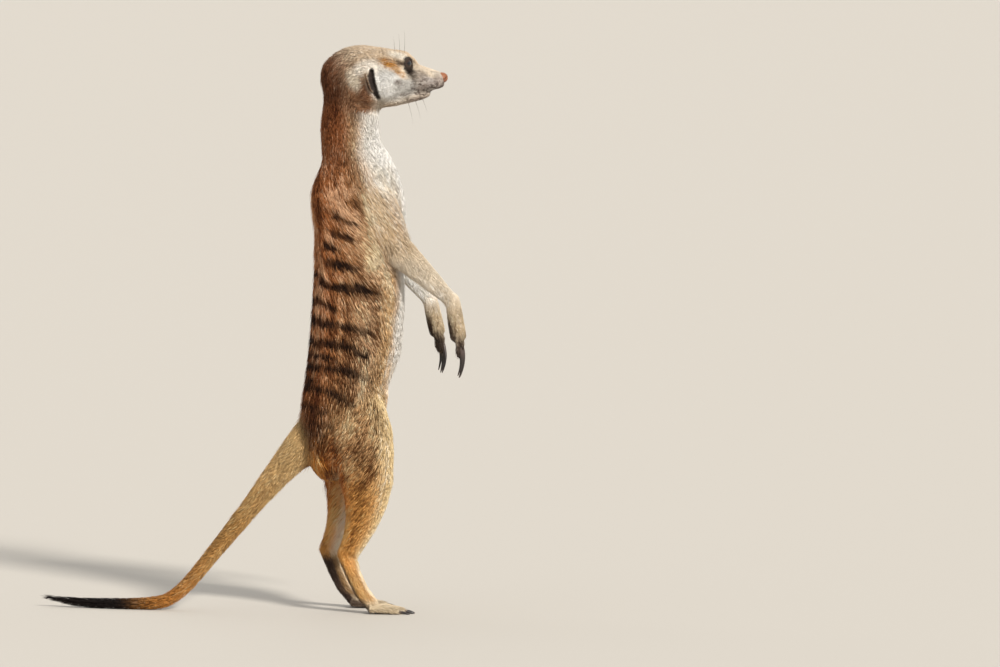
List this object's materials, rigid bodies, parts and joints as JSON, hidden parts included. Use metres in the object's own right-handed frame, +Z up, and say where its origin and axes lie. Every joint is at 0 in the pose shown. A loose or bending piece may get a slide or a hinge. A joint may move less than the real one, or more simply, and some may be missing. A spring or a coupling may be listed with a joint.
{
  "type": "meerkat",
  "caption": "Small slender mongoose standing upright on its hind feet, propped on its tail, forelegs hanging, with a striped back and dark eye patches.",
  "frame": {"origin": "the middle of the footprint's bounding box, on the floor", "axes": "+Z up, the animal faces -Y, its left side is +X"},
  "size_m": [0.0604, 0.2314, 0.3095],
  "materials": {
    "back_coat": "short brown fur with dark cross bands",
    "flank_coat": "short tan agouti fur, white on the throat and belly",
    "pale_coat": "short pale grey and white fur with a black patch round each eye",
    "limb_coat": "short golden tan fur",
    "dark_coat": "black-brown fur of the tail's tip",
    "eye": "wet, glossy dark brown",
    "nose_skin": "bare reddish brown skin, slightly moist",
    "ear_skin": "thin dark skin with sparse fur",
    "claw_horn": "dark brown horn, slightly glossy"
  },
  "bodies": {
    "root": {"head": "pale_coat", "lower_jaw": "pale_coat", "nose": "nose_skin", "eye_left": "eye", "eye_right": "eye", "ear_left": "ear_skin", "ear_right": "ear_skin", "neck": "back_coat", "chest": "flank_coat", "belly": "flank_coat", "rump": "back_coat", "tail_base": "limb_coat", "tail_middle": "limb_coat", "tail_end": "dark_coat", "upper_arm_left": "limb_coat", "forearm_left": "limb_coat", "forepaw_left": "limb_coat", "upper_arm_right": "limb_coat", "forearm_right": "limb_coat", "forepaw_right": "limb_coat", "thigh_left": "limb_coat", "shank_left": "limb_coat", "hindfoot_left": "limb_coat", "thigh_right": "limb_coat", "shank_right": "limb_coat", "hindfoot_right": "limb_coat", "claw_fore_left_1": "claw_horn", "claw_fore_left_2": "claw_horn", "claw_fore_left_3": "claw_horn", "claw_fore_left_4": "claw_horn", "claw_fore_right_1": "claw_horn", "claw_fore_right_2": "claw_horn", "claw_fore_right_3": "claw_horn", "claw_fore_right_4": "claw_horn", "claw_hind_left_1": "claw_horn", "claw_hind_left_2": "claw_horn", "claw_hind_left_3": "claw_horn", "claw_hind_left_4": "claw_horn", "claw_hind_right_1": "claw_horn", "claw_hind_right_2": "claw_horn", "claw_hind_right_3": "claw_horn", "claw_hind_right_4": "claw_horn"}
  },
  "joints": []
}
